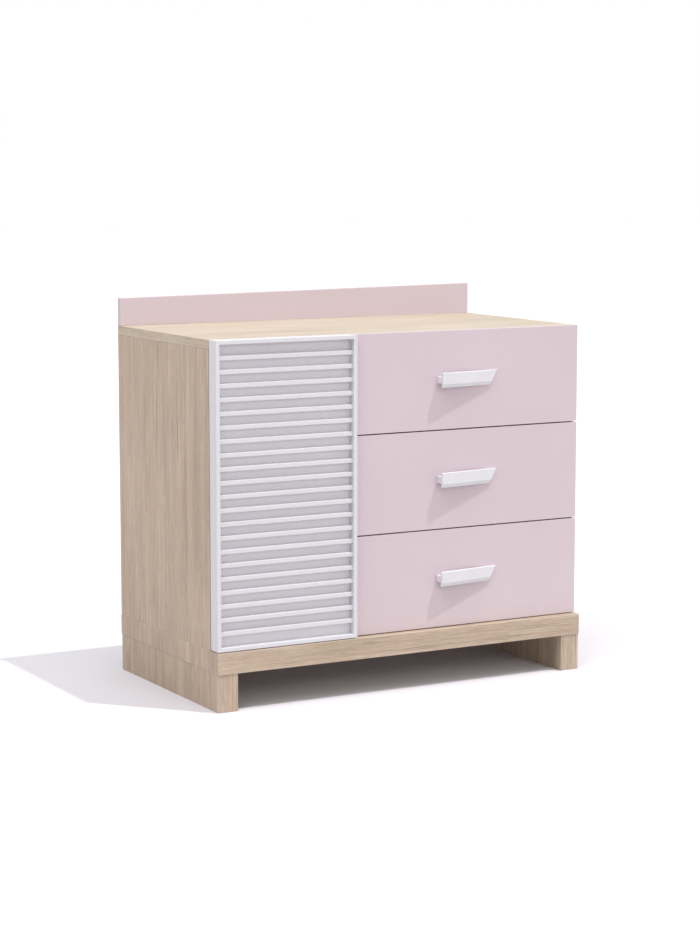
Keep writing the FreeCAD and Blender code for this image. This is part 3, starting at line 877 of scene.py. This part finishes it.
# ---- Studio: floor, light and camera ----
# A plain pale floor under a white sky. A steep key lamp stands at the right and front, and three
# broad weak lamps fill in from overhead, from the left and from the front.
FLOOR_HALF = 30.0
FLOOR_BOUNCE = (0.54, 0.525, 0.53)     # the tone that lights the object from below
FLOOR_SHADE = (0.720, 0.703, 0.742)
FLOOR_TONE = (0.730, 0.713, 0.752)
floor_mesh = bmesh.new()
bmesh.ops.create_grid(floor_mesh, x_segments=8, y_segments=8, size=FLOOR_HALF)
floor_paint, floor_tree, floor_skin = fresh_finish("pale_floor")
floor_cloud = noise(floor_tree, object_place(floor_tree), (1.5, 1.5, 1.5), 2.0)
floor_tone = tones(floor_tree, floor_cloud, (0.3, FLOOR_SHADE), (0.7, FLOOR_TONE))
seen = add_node(floor_tree, "ShaderNodeLightPath", {}).outputs["Is Camera Ray"]
floor_tone = blended(floor_tree, seen, FLOOR_BOUNCE, floor_tone)
floor_tree.links.new(floor_tone, floor_skin.inputs["Base Color"])
floor_skin.inputs["Roughness"].default_value = 0.9
floor_skin.inputs["Specular IOR Level"].default_value = 0.0
floor = finished_piece(floor_mesh, "studio_floor", floor_paint)

sky = bpy.data.worlds.new("white_studio")
sky.use_nodes = True
way_up = add_node(sky.node_tree, "ShaderNodeSeparateXYZ", {0: object_place(sky.node_tree)}).outputs[2]
glow = tones(sky.node_tree, way_up, (0.20, (0.62, 0.62, 0.63)), (0.50, (0.75, 0.75, 0.76)),
             (0.85, (0.66, 0.66, 0.67)))
looked_at = add_node(sky.node_tree, "ShaderNodeLightPath", {}).outputs["Is Camera Ray"]
glow = blended(sky.node_tree, looked_at, glow, (1.0, 1.0, 1.0))
sky.node_tree.links.new(glow, sky.node_tree.nodes["Background"].inputs["Color"])
bpy.context.scene.world = sky


def lamp(name, way, share, spread):
    """A distant lamp. share is the light that it throws on level ground, with 1 as white."""
    light = bpy.data.lights.new(name, "SUN")
    light.energy = share * math.pi / way.normalized().z
    light.angle = math.radians(spread)
    made = bpy.data.objects.new(name, light)
    made.rotation_euler = way.to_track_quat("Z", "Y").to_euler()
    bpy.context.scene.collection.objects.link(made)


lamp("key", Vector((0.26, -0.29, 1.0)), 0.48, 1.2)
lamp("overhead", Vector((0.0, -0.10, 1.0)), 0.15, 24.0)
lamp("side_fill", Vector((-0.60, -0.30, 1.0)), 0.27, 35.0)
lamp("front_fill", Vector((0.10, -0.93, 0.36)), 0.046, 22.0)

EYE_PLACE = (-2.813, -5.062, 1.268)
EYE_TILT = math.radians(82.452)
EYE_TURN = math.radians(-29.039)
camera = bpy.data.cameras.new("camera")
camera.lens = 92.73
camera.sensor_width = 36.0
eye = bpy.data.objects.new("camera", camera)
eye.location = EYE_PLACE
eye.rotation_euler = (EYE_TILT, 0.0, EYE_TURN)
bpy.context.scene.collection.objects.link(eye)
bpy.context.scene.camera = eye
bpy.context.scene.view_settings.view_transform = "Standard"
